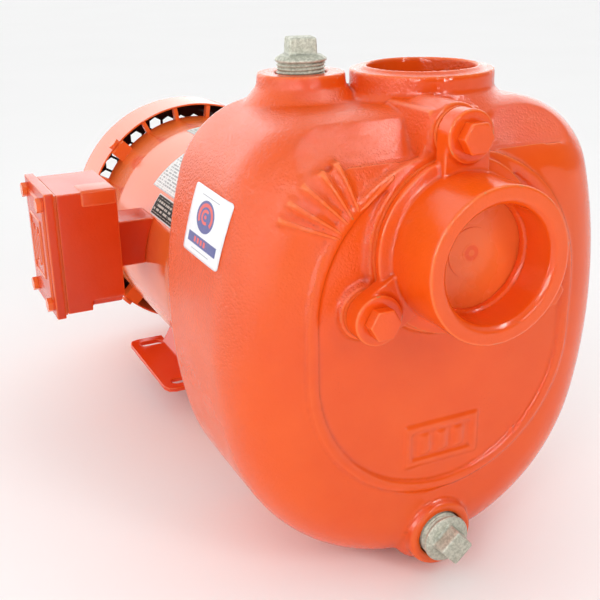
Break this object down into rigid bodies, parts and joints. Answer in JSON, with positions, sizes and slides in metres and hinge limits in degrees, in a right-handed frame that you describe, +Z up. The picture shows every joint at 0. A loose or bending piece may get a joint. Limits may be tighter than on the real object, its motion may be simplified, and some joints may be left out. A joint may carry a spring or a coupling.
{
  "type": "close-coupled self-priming centrifugal pump with motor",
  "caption": "Cast-iron self-priming centrifugal pump with a flapper check valve, close-coupled to a fan-cooled electric motor on a slotted steel base.",
  "frame": {"origin": "centre of the four base slots, on the underside of the motor base", "axes": "+Z up, +Y along the shaft from the pump to the fan, -Y out of the suction port, +X to the right of somebody facing the suction port"},
  "size_m": [0.2664, 0.459, 0.2806],
  "materials": {
    "painted_casting": "orange-red enamel over sand-cast iron, glossy, slightly rough",
    "painted_sheet": "orange-red enamel on pressed steel, glossy",
    "painted_rubber": "moulded rubber with orange overspray, satin",
    "galvanised_steel": "galvanised, matt with a fine spangle",
    "painted_bolt": "steel hexagon heads painted over, glossy",
    "zinc_bolt": "zinc plated, satin",
    "raw_iron": "sand cast, bare, matt",
    "bare_steel": "turned, satin",
    "laminations": "stacked electrical steel, satin",
    "copper_winding": "varnished copper wire, glossy",
    "cast_aluminium": "die cast, satin",
    "bearing_steel": "ground and polished",
    "black_rubber": "moulded, matt",
    "gasket_sheet": "compressed fibre and rubber sheet, matt",
    "seal_ceramic": "lapped ceramic, smooth",
    "fan_plastic": "moulded polypropylene, matt",
    "label_paper": "printed label with a clear film, satin",
    "label_foil": "printed foil plate, satin",
    "green_screw": "green ground screw, satin"
  },
  "bodies": {
    "pump": {"pump_casing": "painted_casting", "suction_flange": "painted_casting", "adapter": "painted_casting", "flange_gasket": "gasket_sheet", "suction_flange_bolts": "painted_bolt", "volute": "raw_iron", "volute_bolts": "zinc_bolt", "volute_o_ring": "black_rubber", "casing_o_ring": "black_rubber", "adapter_bolts": "zinc_bolt", "motor_face_bolts": "zinc_bolt", "seal_seat": "seal_ceramic", "front_bearing_outer_ring": "bearing_steel", "rear_bearing_outer_ring": "bearing_steel", "front_end_bell": "painted_casting", "rear_end_bell": "painted_casting", "wave_washer": "bare_steel", "motor_shell": "painted_sheet", "stator_core": "laminations", "through_bolts": "zinc_bolt", "stator_winding_front": "copper_winding", "stator_winding_rear": "copper_winding", "fan_cover": "painted_sheet", "fan_cover_screws": "zinc_bolt", "motor_base": "painted_sheet", "conduit_box": "painted_sheet", "conduit_gasket": "gasket_sheet", "conduit_cover": "painted_sheet", "conduit_cover_screws": "painted_bolt", "lead_bushing": "black_rubber", "ground_screw": "green_screw", "rating_plate": "label_foil", "wiring_label": "label_paper", "notice_label": "label_paper", "casing_label": "label_paper"},
    "rotor": {"impeller": "raw_iron", "seal_rotary": "black_rubber", "seal_spring": "bare_steel", "slinger": "black_rubber", "motor_shaft": "bare_steel", "rotor_core": "laminations", "rotor_end_rings": "cast_aluminium", "front_bearing_inner_ring": "bearing_steel", "front_bearing_balls": "bearing_steel", "rear_bearing_inner_ring": "bearing_steel", "rear_bearing_balls": "bearing_steel", "cooling_fan": "fan_plastic"},
    "flapper": {"flapper": "painted_rubber", "flapper_washer": "painted_bolt", "flapper_weight": "zinc_bolt", "flapper_rivet": "painted_bolt"},
    "fill_plug": {"fill_plug": "galvanised_steel"},
    "drain_plug": {"drain_plug": "galvanised_steel"}
  },
  "joints": [
    {"name": "rotor_spin", "type": "hinge", "parent": "pump", "child": "rotor", "pos_m": [0, 0, 0.0889], "axis": [0, 1, 0], "continuous": true},
    {"name": "flapper_swing", "type": "hinge", "parent": "pump", "child": "flapper", "pos_m": [0, -0.2977, 0.1974], "axis": [1, 0, 0], "range_deg": [0, 55]},
    {"name": "fill_plug_unscrew", "type": "slide", "parent": "pump", "child": "fill_plug", "axis": [0, 0, 1], "range_m": [0, 0.03]},
    {"name": "drain_plug_unscrew", "type": "slide", "parent": "pump", "child": "drain_plug", "axis": [0, -1, 0], "range_m": [0, 0.03]}
  ]
}
